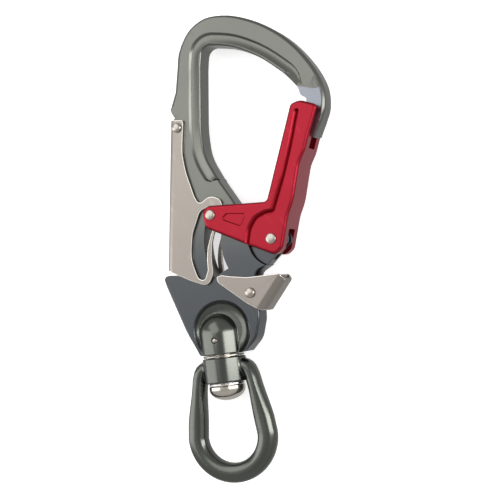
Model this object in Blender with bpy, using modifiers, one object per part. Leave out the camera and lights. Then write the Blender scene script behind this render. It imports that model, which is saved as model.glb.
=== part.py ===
"""Palm-lever swivel snap hook, modelled as separate pieces on their real pivots.

Drawing axes: the hook lies flat, Y runs up the swivel's axis to the bow, X runs
from the spine to the gate and Z is the thickness. Drawing sizes are in
millimetres about the point where the swivel's axis leaves the body. The base
empty scales them to metres and puts the origin under the middle of the hook.
"""
import math

import bmesh
import bpy

MM = 0.001
GAP = 0.3                     # air between pieces that touch

# Pivots and the swivel's axis
GATE_PIVOT = (35.3, 52.6)
PIN_CENTRE = (5.6, 68.1)
LEVER_PIVOT = (-7.7, 113.6)
CATCH_PIVOT = (20.6, 28.2)
SWIVEL_X = 0.4

# Half thicknesses, from the middle plane out
WEB_HALF = 4.0                # pivot lug and nose web
FLANK_HALF = 5.7              # milled flank under the lever and the catch
BODY_HALF = 6.0               # forged frame
SHEET_IN = 6.3                # inside of the folded lever and catch
SHEET = 1.5                   # their sheet's thickness
SHEET_OUT = SHEET_IN + SHEET
ARM_IN = SHEET_OUT + GAP      # inside of the gate's arms
LEVER_BEND = 3.0              # outer fold radii
CATCH_BEND = 4.5
BLANK_DEPTH = 60.0            # how far a folded blank's sides reach before it is cut out
OVERCUT = 1.0                 # how far a cutter stands out of what it cuts
GATE_HALF = 10.4
CHEEK_IN = WEB_HALF + GAP

# Body
RIM_ROUND = 2.2
RECESS_R = 12.9               # machined step round the gate's pivot
LUG_R = 6.3
NOSE_WEB_R = 77.0             # the nose is thin inside this radius from the pivot
BARREL_R = 10.75
BARREL_STRAIGHT = 10.2        # height of the barrel below its round top
WINDOW_IN_R = 27.5
WINDOW_OUT_R = 36.2
BORE_R = 5.3
BORE_TOP = 12.0

# Gate
BOSS_R = 12.4

# Rivets: shank radius, head radius and head height
GATE_RIVET = (1.8, 2.5, 0.7)
DRIVE_PIN = (1.2, 2.4, 0.7)
LEVER_RIVET = (1.5, 2.4, 1.3)
CATCH_RIVET = (1.6, 2.5, 1.3)
ROLLER_R = 2.2

# Spacer sleeves: inner radius, outer radius and half length
GATE_SLEEVE = (GATE_RIVET[0] + GAP, 2.8, WEB_HALF)
LEVER_SLEEVE = (LEVER_RIVET[0] + GAP, 2.3, BODY_HALF)
CATCH_SLEEVE = (CATCH_RIVET[0] + GAP, 2.5, BODY_HALF)

# Swivel
WASHER_TOP = -0.3
WASHER_END = -1.2
COLLAR_TOP = -1.5
COLLAR_END = -13.9
HEAD_WASHER_END = -15.0
BOLT_HEAD_TOP = -15.3
BOLT_HEAD_R = 8.9
BOLT_END = -22.6
BOLT_SHANK_R = 5.0
BOLT_TOP = 11.0
BUSH_R = 6.8
LOCK_PIN_Y = 7.1
LOCK_PIN_R = 1.2
EYE_BAR_R = 4.9
EYE_HALF = 18.2               # from the axis to the middle of the eye's bar
EYE_LOW = -58.5               # middle of the bar at the bottom

# Where the origin goes: the middle of the hook's box, on its lowest point
BOX_MIDDLE = (22.78, 51.32)
LOWEST = GATE_HALF + GAP + GATE_RIVET[2]

FULL_TURN = 2 * math.pi
TURN_STEPS = 24


# ---------------------------------------------------------------- outlines

def arc(centre, radius, start, end, step=12.0):
    """Points on an arc, in degrees, as corners with no rounding."""
    count = max(2, round(abs(end - start) / step))
    angles = [math.radians(start + (end - start) * i / count) for i in range(count + 1)]
    return [(centre[0] + radius * math.cos(a), centre[1] + radius * math.sin(a), 0.0)
            for a in angles]


def rounded(corners, step=14.0):
    """A closed outline from corners (x, y, radius), with each corner an arc."""
    points = []
    count = len(corners)
    for i, (x, y, radius) in enumerate(corners):
        if radius <= 0:
            points.append((x, y))
            continue
        px, py = corners[i - 1][:2]
        nx, ny = corners[(i + 1) % count][:2]
        to_prev = math.atan2(py - y, px - x)
        to_next = math.atan2(ny - y, nx - x)
        opening = (to_next - to_prev) % FULL_TURN
        inner = min(opening, FULL_TURN - opening)
        half = inner / 2
        reach = radius / math.tan(half)
        limit = 0.49 * min(math.hypot(px - x, py - y), math.hypot(nx - x, ny - y))
        reach = min(reach, limit)
        radius = reach * math.tan(half)
        bisector = to_prev + (half if opening < math.pi else -half)
        away = radius / math.sin(half)
        cx = x + away * math.cos(bisector)
        cy = y + away * math.sin(bisector)
        first = math.atan2(y + reach * math.sin(to_prev) - cy, x + reach * math.cos(to_prev) - cx)
        turn = math.pi - inner
        if opening < math.pi:
            turn = -turn
        pieces = max(1, round(math.degrees(abs(turn)) / step))
        for k in range(pieces + 1):
            angle = first + turn * k / pieces
            points.append((cx + radius * math.cos(angle), cy + radius * math.sin(angle)))
    return points


def smooth(knots, pieces=3):
    """Points on a smooth curve through the knots, as corners with no rounding."""
    first, last = knots[0], knots[-1]
    ends = [(2 * first[0] - knots[1][0], 2 * first[1] - knots[1][1]), *knots,
            (2 * last[0] - knots[-2][0], 2 * last[1] - knots[-2][1])]
    points = []
    for before, start, end, after in zip(ends, ends[1:], ends[2:], ends[3:]):
        for i in range(pieces):
            t = i / pieces
            x, y = (a + 0.5 * t * (b - p + t * (2 * p - 5 * a + 4 * b - n + t * (3 * (a - b) + n - p)))
                    for p, a, b, n in zip(before, start, end, after))
            points.append((x, y, 0.0))
    return [*points, (*last, 0.0)]


BODY_OUTLINE = [
    (61.3, 98.3, 1.2), *smooth([
        (65.4, 105.0), (68.5, 112.6), (68.5, 122.8), (63.4, 134.8), (54.0, 147.3), (42.0, 157.0),
        (28.5, 163.6), (17.0, 165.8), (9.0, 164.5), (2.1, 159.8), (-3.3, 151.2), (-5.3, 142.6),
        (-7.6, 131.6)]), (-11.4, 123.2, 5.5),
    (-9.0, 118.6, 2), (-11.6, 116.0, 2), (-11.6, 111.0, 2), (-9.8, 107.6, 2),
    (-10.9, 75.0, 30), (-11.2, 41.9, 2), (-17.0, 40.4, 4), (-20.6, 41.6, 2),
    (-24.4, 41.2, 1.8), (-23.4, 35.5, 12), (-15.6, 12.5, 30), (-9.6, 0.3, 1),
    (14.2, 0.3, 1), (20.4, 5.8, 10), (23.4, 15.5, 14), (23.7, 37.4, 4), (30.6, 41.2, 8),
    *arc(GATE_PIVOT, LUG_R, -20, 130),
    (25.6, 60.2, 6), (20.8, 66.0, 12), (16.6, 74.0, 20), (10.2, 85.4, 25),
    (4.4, 98.0, 25), (4.0, 111.0, 60), (7.6, 142.6, 40), (9.6, 152.5, 10),
    (24.5, 149.4, 40), (38.5, 141.7, 60), (50.6, 130.6, 25), (55.8, 123.4, 6),
    (56.3, 119.8, 2.5), (59.2, 117.8, 1.5), (58.4, 112.0, 4), (56.4, 104.0, 3),
    (58.0, 98.8, 1.5)]

NOSE_POCKET = [
    *arc(GATE_PIVOT, NOSE_WEB_R, 66, 86, step=5), (50.0, 94.0, 0), (61.2, 94.0, 0),
    (61.2, 99.6, 0), (64.9, 108.0, 8), (66.7, 116.0, 8)]

GATE_OUTLINE = [
    (52.5, 115.3, 2.2), (57.2, 116.6, 6), (65.9, 112.9, 1.8), (60.2, 100.0, 30),
    (56.9, 91.9, 15), (53.6, 86.6, 15), (48.5, 69.3, 25), (45.2, 63.0, 20),
    (40.3, 47.4, 4), (36.4, 44.4, 4.5), (24.0, 50.6, 20), (2.4, 62.0, 4.5),
    (0.4, 73.1, 5), (34.9, 70.6, 2.5)]

# Milled flanks, the slots of two springs, and the barrel's pocket (centre, radius, half height)
FLANK = [(-30, -5), (46, -5), (46, 121), (-30, 121)]
LEVER_SPRING_SLOT = [(-14, 96, 0), (-9.0, 96, 1), (-3.6, 109.2, 3), (-3.6, 117.4, 4.0), (-14, 117.4, 0)]
GATE_SPRING_MOUTH = [(30.0, 49.0, 0), (34.0, 40.0, 0), (46.0, 52.0, 0), (40.0, 57.5, 0)]
GATE_SPRING_HALF = 1.9
BARREL_POCKET = ((3.0, 11.5), 14.8, 3.8)

# Everything between the gate's cheeks but the outer web
GATE_CHANNEL = [
    (-6.0, 40.0, 0), (50.0, 40.0, 0), (50.0, 54.2, 0), (39.5, 57.6, 0),
    (42.8, 64.2, 20), (45.9, 70.2, 20), (51.1, 87.6, 15), (54.9, 93.9, 0),
    (70.0, 92.6, 0), (70.0, 122.0, 0), (-6.0, 122.0, 0)]

LEVER_OUTLINE = [
    (-11.6, 118.3, 1.5), (-7.4, 119.0, 3), (-3.9, 116.8, 2.5), (-6.6, 101.0, 30),
    (-5.6, 91.0, 30), (-2.6, 78.5, 12), (-0.6, 74.2, 3.5), (5.4, 77.9, 5),
    (11.6, 75.0, 3.5), (10.4, 67.5, 8), (4.4, 57.0, 20), (2.8, 47.0, 20),
    (2.9, 39.6, 5), (-0.6, 33.6, 5), (-9.8, 37.6, 8), (-21.7, 44.2, 1.5)]

LEVER_SLOT = [
    (9.3, 70.6, 3), (8.5, 66.8, 4), (4.4, 60.3, 15), (1.4, 53.0, 12), (0.3, 47.5, 20),
    (0.1, 41.5, 4), (-2.3, 36.6, 3.2), (-5.4, 38.4, 3), (-8.0, 48.3, 18),
    (-5.9, 60.2, 20), (-0.4, 71.2, 5), (4.9, 72.6, 3.5)]

CATCH_OUTLINE = [
    (4.4, 37.9, 0.6), (6.8, 38.4, 1.5), (11.2, 37.3, 8), (19.9, 35.8, 20),
    (36.2, 35.7, 2), (38.6, 32.5, 1.5), (27.3, 19.2, 1.5), (24.8, 19.0, 1.5),
    (12.0, 27.3, 15), (5.4, 33.4, 4), (4.2, 36.4, 1)]


# ---------------------------------------------------------------- scene and helpers

def clear_scene():
    """Remove what the new file holds."""
    for thing in list(bpy.data.objects):
        bpy.data.objects.remove(thing, do_unlink=True)


def new_collection(name):
    """A collection linked to the scene."""
    made = bpy.data.collections.new(name)
    bpy.context.scene.collection.children.link(made)
    return made


def new_material(name, colour, roughness, metallic):
    """A plain Principled material."""
    made = bpy.data.materials.new(name)
    made.use_nodes = True
    shader = made.node_tree.nodes["Principled BSDF"]
    shader.inputs["Base Color"].default_value = (*colour, 1.0)
    shader.inputs["Roughness"].default_value = roughness
    shader.inputs["Metallic"].default_value = metallic
    return made


def new_empty(name, location, parent=None):
    """An empty that carries the pieces of one moving group."""
    made = bpy.data.objects.new(name, None)
    PARTS.objects.link(made)
    made.location = location
    made.parent = parent
    return made


def place(thing, group):
    """Hang a piece on its group's empty, keeping drawing coordinates."""
    thing.parent = group
    if group is not BASE:
        thing.location -= group.location


def finish_piece(thing, group, material):
    """Name the group and the material of a finished piece, and shade it."""
    place(thing, group)
    thing.data.materials.clear()
    thing.data.materials.append(material)
    thing.data.shade_smooth()
    thing.data.set_sharp_from_angle(angle=math.radians(35))
    return thing


def as_cutter(thing):
    """Move a mesh to the cutters, where it is drawn as wires only."""
    PARTS.objects.unlink(thing)
    CUTTERS.objects.link(thing)
    thing.hide_render = True
    thing.display_type = "WIRE"
    place(thing, BASE)
    return thing


def mesh_from_curve(thing):
    """Replace a curve object by its mesh, with the loose caps welded."""
    bpy.context.view_layer.update()
    graph = bpy.context.evaluated_depsgraph_get()
    mesh = bpy.data.meshes.new_from_object(thing.evaluated_get(graph))
    shape = bmesh.new()
    shape.from_mesh(mesh)
    bmesh.ops.remove_doubles(shape, verts=shape.verts, dist=0.0005)
    shape.to_mesh(mesh)
    shape.free()
    made = bpy.data.objects.new(thing.name, mesh)
    made.matrix_world = thing.matrix_world
    name = thing.name
    bpy.data.objects.remove(thing, do_unlink=True)
    made.name = name
    PARTS.objects.link(made)
    return made


def plate(name, outline, low, high, holes=()):
    """A flat outline with its holes, from height low to height high."""
    curve = bpy.data.curves.new(name, "CURVE")
    curve.dimensions = "2D"
    curve.fill_mode = "BOTH"
    curve.extrude = (high - low) / 2
    for loop in (outline, *holes):
        spline = curve.splines.new("POLY")
        spline.points.add(len(loop) - 1)
        for point, (x, y) in zip(spline.points, loop):
            point.co = (x, y, 0, 1)
        spline.use_cyclic_u = True
    thing = bpy.data.objects.new(name, curve)
    PARTS.objects.link(thing)
    thing.location.z = (low + high) / 2
    return mesh_from_curve(thing)


def rod(name, centre, radius, low, high):
    """A round bar along Z."""
    ring = [(x, y) for x, y, _ in arc(centre, radius, 0, 360 - 360 / TURN_STEPS, 360 / TURN_STEPS)]
    return plate(name, ring, low, high)


def tube(name, centre, outer, inner, low, high):
    """A sleeve along Z."""
    step = 360 / TURN_STEPS
    rings = [[(x, y) for x, y, _ in arc(centre, radius, 0, 360 - step, step)]
             for radius in (outer, inner)]
    return plate(name, rings[0], low, high, holes=rings[1:])


def turned(name, profile, centre, along="Z", steps=TURN_STEPS):
    """A profile of (radius, height), listed top to bottom, spun about its axis."""
    mesh = bpy.data.meshes.new(name)
    shape = bmesh.new()
    closed = profile[0] == profile[-1]
    verts = [shape.verts.new((radius, 0, height)) for radius, height in profile[closed:]]
    for first, second in zip(verts, verts[1:] + verts[:closed]):
        shape.edges.new((first, second))
    shape.to_mesh(mesh)
    shape.free()
    thing = bpy.data.objects.new(name, mesh)
    PARTS.objects.link(thing)
    thing.location = centre
    if along == "Y":
        thing.rotation_euler.x = -math.pi / 2
    spin = thing.modifiers.new("Spin", "SCREW")
    spin.steps = steps
    spin.render_steps = steps
    spin.use_merge_vertices = True
    spin.merge_threshold = 0.0001
    return thing


def wire(name, points, radius, resolution=2):
    """A bent wire or bar through the given points."""
    curve = bpy.data.curves.new(name, "CURVE")
    curve.dimensions = "3D"
    curve.bevel_depth = radius
    curve.bevel_resolution = resolution
    curve.use_fill_caps = True
    spline = curve.splines.new("POLY")
    spline.points.add(len(points) - 1)
    for point, place_at in zip(spline.points, points):
        point.co = (*place_at, 1)
    thing = bpy.data.objects.new(name, curve)
    PARTS.objects.link(thing)
    return mesh_from_curve(thing)


def combine(thing, other, operation):
    """Cut, join or intersect a piece with another mesh."""
    step = thing.modifiers.new(operation.title(), "BOOLEAN")
    step.operation = operation
    step.object = as_cutter(other)
    step.solver = "EXACT"


def cut_both_faces(thing, name, outline, low, high):
    """Cut an outline out of both faces of a piece."""
    for side, (start, end) in (("front", (low, high)), ("rear", (-high, -low))):
        combine(thing, plate(f"{name}_{side}", outline, start, end), "DIFFERENCE")


def round_edges(thing, width, segments=2):
    """Round the sharp edges of a piece."""
    edge = thing.modifiers.new("Round", "BEVEL")
    edge.width = width
    edge.segments = segments
    edge.limit_method = "ANGLE"
    edge.angle_limit = math.radians(50)


def rivet(name, centre, sizes, reach, group):
    """A rivet with a domed head on each end, its shank reaching through."""
    shank, head, height = sizes
    top = reach + height
    profile = [(0, top), (0.6 * head, top - 0.15 * height), (head, reach + 0.35 * height),
               (head, reach), (shank, reach)]
    mirrored = [(radius, -z) for radius, z in reversed(profile)]
    thing = turned(name, profile + mirrored, (*centre, 0))
    return finish_piece(thing, group, STEEL)


def torsion_spring(name, centre, radius, turns, wire_radius, legs, group):
    """A coil about Z that runs out straight to each of its two leg ends."""
    def tangent(end, side):
        """Angle where a straight leg from this end meets the coil."""
        dx, dy = end[0] - centre[0], end[1] - centre[1]
        return math.atan2(dy, dx) + side * math.acos(radius / math.hypot(dx, dy))

    first = tangent(legs[0], 1)
    sweep = turns * FULL_TURN + (tangent(legs[1], -1) - first) % FULL_TURN
    count = round(sweep / FULL_TURN * 12)
    height = 2.3 * wire_radius * sweep / FULL_TURN
    points = [(*legs[0], -height / 2)]
    for i in range(count + 1):
        angle = first + sweep * i / count
        points.append((centre[0] + radius * math.cos(angle), centre[1] + radius * math.sin(angle),
                       height * (i / count - 0.5)))
    points.append((*legs[1], height / 2))
    return finish_piece(wire(name, points, wire_radius), group, STEEL)


def channel_blank(name, corner, direction, length, bend):
    """A folded sheet of U section: its web's outer face starts at corner and runs along
    direction, its sides reach to the left of that line, and bend is its outer fold radius."""
    depth = BLANK_DEPTH
    outer = rounded([(0, -SHEET_OUT, bend), (depth, -SHEET_OUT, 0), (depth, SHEET_OUT, 0),
                     (0, SHEET_OUT, bend)])
    inner = rounded([(SHEET, -SHEET_IN, bend - SHEET), (depth + OVERCUT, -SHEET_IN, 0),
                     (depth + OVERCUT, SHEET_IN, 0), (SHEET, SHEET_IN, bend - SHEET)])
    thing = plate(name, outer, 0, length)
    hollow = plate(f"{name}_hollow", inner, -OVERCUT, length + OVERCUT)
    lean = math.atan2(direction[0], -direction[1])
    for part in (thing, hollow):
        along = part.location.z
        part.rotation_euler = (math.pi / 2, 0, lean)
        part.location = (corner[0] + along * direction[0], corner[1] + along * direction[1], 0)
    return thing, hollow


# ---------------------------------------------------------------- body

def make_body():
    """The forged frame with its pockets, window, pivot holes and swivel barrel."""
    body = plate("hook_body", rounded(BODY_OUTLINE), -BODY_HALF, BODY_HALF)
    round_edges(body, RIM_ROUND)
    skin = BODY_HALF + OVERCUT
    right_through = GATE_HALF + OVERCUT
    cut_both_faces(body, "flank_cut", FLANK, FLANK_HALF, skin)
    cut_both_faces(body, "nose_cut", rounded(NOSE_POCKET), WEB_HALF, skin)
    recess = [(x, y) for x, y, _ in arc(GATE_PIVOT, RECESS_R, 0, 350, 10)]
    cut_both_faces(body, "recess_cut", recess, WEB_HALF, skin)
    window = rounded(arc(GATE_PIVOT, WINDOW_OUT_R, 147, 204, 6)
                     + arc(GATE_PIVOT, WINDOW_IN_R, 204, 147, 6))
    combine(body, plate("window_cut", window, -right_through, right_through), "DIFFERENCE")
    for name, centre, (_, sleeve, _) in (("gate", GATE_PIVOT, GATE_SLEEVE),
                                         ("lever", LEVER_PIVOT, LEVER_SLEEVE),
                                         ("catch", CATCH_PIVOT, CATCH_SLEEVE)):
        combine(body, rod(f"{name}_hole", centre, sleeve + GAP, -right_through, right_through),
                "DIFFERENCE")
    for name, centre, radius, half in (("gate", GATE_PIVOT, 4.7, GATE_SPRING_HALF),
                                       ("catch", CATCH_PIVOT, 4.6, 1.6)):
        combine(body, rod(f"{name}_spring_slot", centre, radius, -half, half), "DIFFERENCE")
    for name, outline, half in (("lever_spring_slot", LEVER_SPRING_SLOT, 1.5),
                                ("gate_spring_mouth", GATE_SPRING_MOUTH, GATE_SPRING_HALF)):
        combine(body, plate(name, rounded(outline), -half, half), "DIFFERENCE")
    pocket = [(x, y) for x, y, _ in arc(BARREL_POCKET[0], BARREL_POCKET[1], 0, 350, 10)]
    cut_both_faces(body, "barrel_pocket_cut", pocket, BARREL_POCKET[2], skin)
    dome = [(BARREL_R * math.cos(math.radians(a)), BARREL_STRAIGHT + BARREL_R * math.sin(math.radians(a)))
            for a in range(90, -1, -15)]
    dome[0] = (0, BARREL_STRAIGHT + BARREL_R)
    barrel = turned("barrel_solid", dome + [(BARREL_R, 0), (0, 0)], (SWIVEL_X, 0, 0), "Y")
    combine(body, barrel, "UNION")
    bore = turned("barrel_bore", [(0, BORE_TOP), (BORE_R, BORE_TOP), (BORE_R, -1), (0, -1)],
                  (SWIVEL_X, 0, 0), "Y")
    combine(body, bore, "DIFFERENCE")
    combine(body, rod("lock_pin_hole", (SWIVEL_X, LOCK_PIN_Y), LOCK_PIN_R + GAP,
                      -BARREL_R - OVERCUT, BARREL_R + OVERCUT), "DIFFERENCE")
    return finish_piece(body, BASE, ANODISED)


# ---------------------------------------------------------------- gate

def make_gate():
    """The channel-shaped gate: leg, two arms, outer web and its pivot holes."""
    gate = plate("gate", rounded(GATE_OUTLINE), -GATE_HALF, GATE_HALF)
    round_edges(gate, 0.8)
    combine(gate, plate("gate_channel_cut", rounded(GATE_CHANNEL), -CHEEK_IN, CHEEK_IN), "DIFFERENCE")
    arms = rounded([*arc(GATE_PIVOT, BOSS_R, 92, 262, 10), (30.0, 38.0, 0), (-6.0, 38.0, 0),
                    (-6.0, 80.0, 0), (34.9, 80.0, 0)])
    combine(gate, plate("gate_arm_cut", arms, -ARM_IN, ARM_IN), "DIFFERENCE")
    for name, centre, shank in (("gate_rivet_bore", GATE_PIVOT, GATE_RIVET[0]),
                                ("drive_pin_bore", PIN_CENTRE, DRIVE_PIN[0])):
        combine(gate, rod(name, centre, shank + GAP, -12, 12), "DIFFERENCE")
    return finish_piece(gate, GATE_AXIS, RED)


# ---------------------------------------------------------------- lever and catch

def make_lever():
    """The palm lever: a folded sheet cut to its outline, with two curved slots."""
    lever, hollow = channel_blank("lever_blank", (-11.3, 117.9), (-0.1383, -0.9904), 90, LEVER_BEND)
    lever.name = "palm_lever"
    combine(lever, hollow, "DIFFERENCE")
    combine(lever, plate("lever_outline", rounded(LEVER_OUTLINE), -9, 9,
                         holes=[rounded(LEVER_SLOT)]), "INTERSECT")
    web_end = [(-22, 106), (-4, 106), (-4, 122), (-22, 122)]
    combine(lever, plate("lever_web_cut", web_end, -SHEET_IN, SHEET_IN), "DIFFERENCE")
    combine(lever, rod("lever_rivet_bore", LEVER_PIVOT, LEVER_RIVET[0] + GAP, -9, 9), "DIFFERENCE")
    return finish_piece(lever, LEVER_AXIS, STAINLESS)


def make_catch():
    """The thumb catch: a folded sheet with its tip at the lever and its tab outside."""
    catch, hollow = channel_blank("catch_blank", (25.5, 17.0), (0.6512, 0.7589), 30, CATCH_BEND)
    catch.name = "thumb_catch"
    combine(catch, hollow, "DIFFERENCE")
    combine(catch, plate("catch_outline", rounded(CATCH_OUTLINE), -9, 9), "INTERSECT")
    combine(catch, rod("catch_rivet_bore", CATCH_PIVOT, CATCH_RIVET[0] + GAP, -9, 9), "DIFFERENCE")
    return finish_piece(catch, CATCH_AXIS, STAINLESS)


# ---------------------------------------------------------------- rivets, sleeves, springs

def make_fittings():
    """Rivets, spacer sleeves, the drive pin with its roller, and the springs."""
    rivet("gate_rivet", GATE_PIVOT, GATE_RIVET, GATE_HALF + GAP, BASE)
    rivet("lever_rivet", LEVER_PIVOT, LEVER_RIVET, SHEET_OUT + GAP, BASE)
    rivet("catch_rivet", CATCH_PIVOT, CATCH_RIVET, SHEET_OUT + GAP, BASE)
    rivet("drive_pin", PIN_CENTRE, DRIVE_PIN, GATE_HALF + GAP, GATE_AXIS)
    for name, centre, (inner, outer, half), group in (
            ("gate_sleeve", GATE_PIVOT, GATE_SLEEVE, BASE),
            ("lever_sleeve", LEVER_PIVOT, LEVER_SLEEVE, BASE),
            ("catch_sleeve", CATCH_PIVOT, CATCH_SLEEVE, BASE),
            ("pin_roller", PIN_CENTRE, (DRIVE_PIN[0] + GAP, ROLLER_R, SHEET_OUT), GATE_AXIS)):
        finish_piece(tube(name, centre, outer, inner, -half, half), group, STEEL)
    torsion_spring("gate_spring", GATE_PIVOT, 3.65, 2, 0.4, ((34.0, 46.6), (40.6, 55.0)), BASE)
    torsion_spring("lever_spring", LEVER_PIVOT, 3.1, 2, 0.35, ((-5.2, 108.8), (-10.3, 98.5)), BASE)
    torsion_spring("catch_spring", CATCH_PIVOT, 3.4, 2, 0.35, ((24.0, 31.4), (24.6, 25.6)), BASE)


# ---------------------------------------------------------------- swivel

def make_swivel():
    """The bolt with its washers, bush and cross pin, and the eye with its collar."""
    centre = (SWIVEL_X, 0, 0)
    head_drop = BOLT_HEAD_TOP - BOLT_END
    dome = [(BOLT_HEAD_R * math.cos(math.radians(a)), BOLT_HEAD_TOP - 1.6
             - (head_drop - 1.6) * math.sin(math.radians(a))) for a in range(0, 90, 15)]
    bolt = turned("swivel_bolt", [(0, BOLT_TOP), (BOLT_SHANK_R, BOLT_TOP),
                                  (BOLT_SHANK_R, BOLT_HEAD_TOP), (BOLT_HEAD_R, BOLT_HEAD_TOP),
                                  *dome, (0, BOLT_END)], centre, "Y")
    combine(bolt, rod("bolt_cross_hole", (SWIVEL_X, LOCK_PIN_Y), LOCK_PIN_R + GAP, -12, 12),
            "DIFFERENCE")
    finish_piece(bolt, BASE, STEEL)
    pin = rod("bolt_lock_pin", (SWIVEL_X, LOCK_PIN_Y), LOCK_PIN_R, -BARREL_R, BARREL_R)
    finish_piece(pin, BASE, STEEL)
    for name, outer, inner, top, end, group in (
            ("collar_washer", 10.2, BORE_R, WASHER_TOP, WASHER_END, BASE),
            ("head_washer", 8.7, BORE_R, COLLAR_END - GAP, HEAD_WASHER_END, BASE),
            ("swivel_bush", BUSH_R, BORE_R, COLLAR_TOP, COLLAR_END, EYE_AXIS)):
        ring = turned(name, [(inner, end), (inner, top), (outer, top), (outer, end), (inner, end)],
                      centre, "Y")
        finish_piece(ring, group, STEEL)
    make_eye(centre)


def make_eye(centre):
    """The eye: a round bar bent to a drop shape, and the collar it grows from."""
    bend_y = EYE_LOW + EYE_HALF
    right = [(8.8, -8.2), (12.6, -9.6), (14.4, -13.0), (15.0, -18.0), (16.2, -26.0), (17.5, -34.0)]
    lower = [(x, y) for x, y, _ in arc((0, bend_y), EYE_HALF, 0, -180, 12)]
    path = right + lower + [(-x, y) for x, y in reversed(right)]
    bar = wire("eye_bar", [(x + SWIVEL_X, y, 0) for x, y in path], EYE_BAR_R, resolution=4)
    eye = turned("swivel_eye", [(0, COLLAR_TOP), (BARREL_R, COLLAR_TOP), (BARREL_R, COLLAR_END),
                                (0, COLLAR_END)], centre, "Y")
    combine(eye, bar, "UNION")
    bore = turned("collar_bore", [(0, 3), (BUSH_R + GAP, 3), (BUSH_R + GAP, -14.5), (0, -14.5)],
                  centre, "Y")
    combine(eye, bore, "DIFFERENCE")
    return finish_piece(eye, EYE_AXIS, ANODISED)


clear_scene()
PARTS = new_collection("snap_hook")
CUTTERS = new_collection("cutters")
BASE = new_empty("base", (-BOX_MIDDLE[0] * MM, -BOX_MIDDLE[1] * MM, LOWEST * MM))
BASE.scale = (MM, MM, MM)
GATE_AXIS = new_empty("gate_axis", (*GATE_PIVOT, 0), BASE)
LEVER_AXIS = new_empty("lever_axis", (*LEVER_PIVOT, 0), BASE)
CATCH_AXIS = new_empty("catch_axis", (*CATCH_PIVOT, 0), BASE)
EYE_AXIS = new_empty("eye_axis", (SWIVEL_X, 0, 0), BASE)

ANODISED = new_material("grey_anodised", (0.23, 0.24, 0.22), 0.3, 1.0)
RED = new_material("red_anodised", (0.45, 0.02, 0.04), 0.35, 1.0)
STAINLESS = new_material("satin_stainless", (0.50, 0.46, 0.41), 0.4, 1.0)
STEEL = new_material("bright_steel", (0.58, 0.54, 0.49), 0.25, 1.0)

make_body()
make_gate()
make_lever()
make_catch()
make_fittings()
make_swivel()
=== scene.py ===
"""Looks of a palm-lever swivel snap hook: forged frame, gate, lever, catch and swivel.

Shapes are drawn in millimetres in the hook's own drawing: Y runs up the swivel's axis
to the bow, X from the spine to the gate, Z is the thickness. The origin is the point
where the swivel's axis leaves the body. A finished piece is moved into the frame's metres.
"""

import logging
import math
from dataclasses import dataclass, field
from enum import Enum
from typing import Callable, Sequence

import bmesh
import bpy
from mathutils import Matrix, Vector


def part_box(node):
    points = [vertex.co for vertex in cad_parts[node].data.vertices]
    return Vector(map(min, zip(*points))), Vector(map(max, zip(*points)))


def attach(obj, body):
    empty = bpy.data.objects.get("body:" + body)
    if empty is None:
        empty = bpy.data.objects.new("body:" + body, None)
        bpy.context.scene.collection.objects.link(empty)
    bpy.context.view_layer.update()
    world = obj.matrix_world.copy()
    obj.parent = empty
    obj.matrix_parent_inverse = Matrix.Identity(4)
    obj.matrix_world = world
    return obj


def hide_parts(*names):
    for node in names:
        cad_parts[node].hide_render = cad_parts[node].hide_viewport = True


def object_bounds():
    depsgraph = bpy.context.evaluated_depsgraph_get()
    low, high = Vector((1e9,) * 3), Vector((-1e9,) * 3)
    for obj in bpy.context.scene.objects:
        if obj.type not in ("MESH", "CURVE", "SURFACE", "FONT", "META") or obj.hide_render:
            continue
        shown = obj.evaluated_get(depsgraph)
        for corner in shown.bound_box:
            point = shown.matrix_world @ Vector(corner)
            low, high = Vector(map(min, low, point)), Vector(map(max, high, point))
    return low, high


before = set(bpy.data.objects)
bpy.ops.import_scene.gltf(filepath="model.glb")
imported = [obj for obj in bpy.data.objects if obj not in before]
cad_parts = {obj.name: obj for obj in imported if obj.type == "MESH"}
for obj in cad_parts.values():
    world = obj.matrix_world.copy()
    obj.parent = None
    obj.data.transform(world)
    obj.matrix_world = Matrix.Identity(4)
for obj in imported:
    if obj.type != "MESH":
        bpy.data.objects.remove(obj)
CAD_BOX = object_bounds()

LOG = logging.getLogger("snap_hook")

MM = 0.001
GAP = 0.3                      # air between neighbours, millimetres
FULL_TURN = 2 * math.pi
ARC_STEP = 5.0                 # degrees between the points of a rounded corner
PAST_SHEETS = 9.0              # half height of a cutter through the frame and the sheets
PAST_GATE = 12.0               # half height of a cutter through the gate and the barrel
OVERCUT = 0.05                 # how far a shallow tool stands out of the face that it cuts

Point = tuple[float, float]
Corner = tuple[float, float, float]
Colour = tuple[float, float, float]
Chooser = Callable[[Vector], bool]


# ---------------------------------------------------------------- drawing

@dataclass(frozen=True)
class Pivots:
    """Centres of the hook's axes, in the drawing."""

    gate: Point = (35.3, 52.6)
    pin: Point = (5.6, 68.1)
    lever: Point = (-7.7, 113.6)
    catch: Point = (20.6, 28.2)
    swivel_x: float = 0.4


@dataclass(frozen=True)
class Thickness:
    """Heights from the hook's middle plane, in millimetres."""

    web: float = 4.0
    body: float = 6.0
    sheet_in: float = 6.3
    sheet: float = 1.5
    gate: float = 10.4

    @property
    def sheet_out(self) -> float:
        """Outer face of the folded sheets."""
        return self.sheet_in + self.sheet

    @property
    def arm_in(self) -> float:
        """Inner face of the gate's arms."""
        return self.sheet_out + GAP

    @property
    def cheek_in(self) -> float:
        """Inner face of the gate's cheeks."""
        return self.web + GAP


@dataclass(frozen=True)
class Zone:
    """A rectangle of the drawing; a side that is left out is far away."""

    left: float = -math.inf
    right: float = math.inf
    low: float = -math.inf
    high: float = math.inf

    def holds(self, at: Vector) -> bool:
        """Whether a point lies in it."""
        return self.left < at.x < self.right and self.low < at.y < self.high


PIVOTS = Pivots()
THICK = Thickness()


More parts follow.
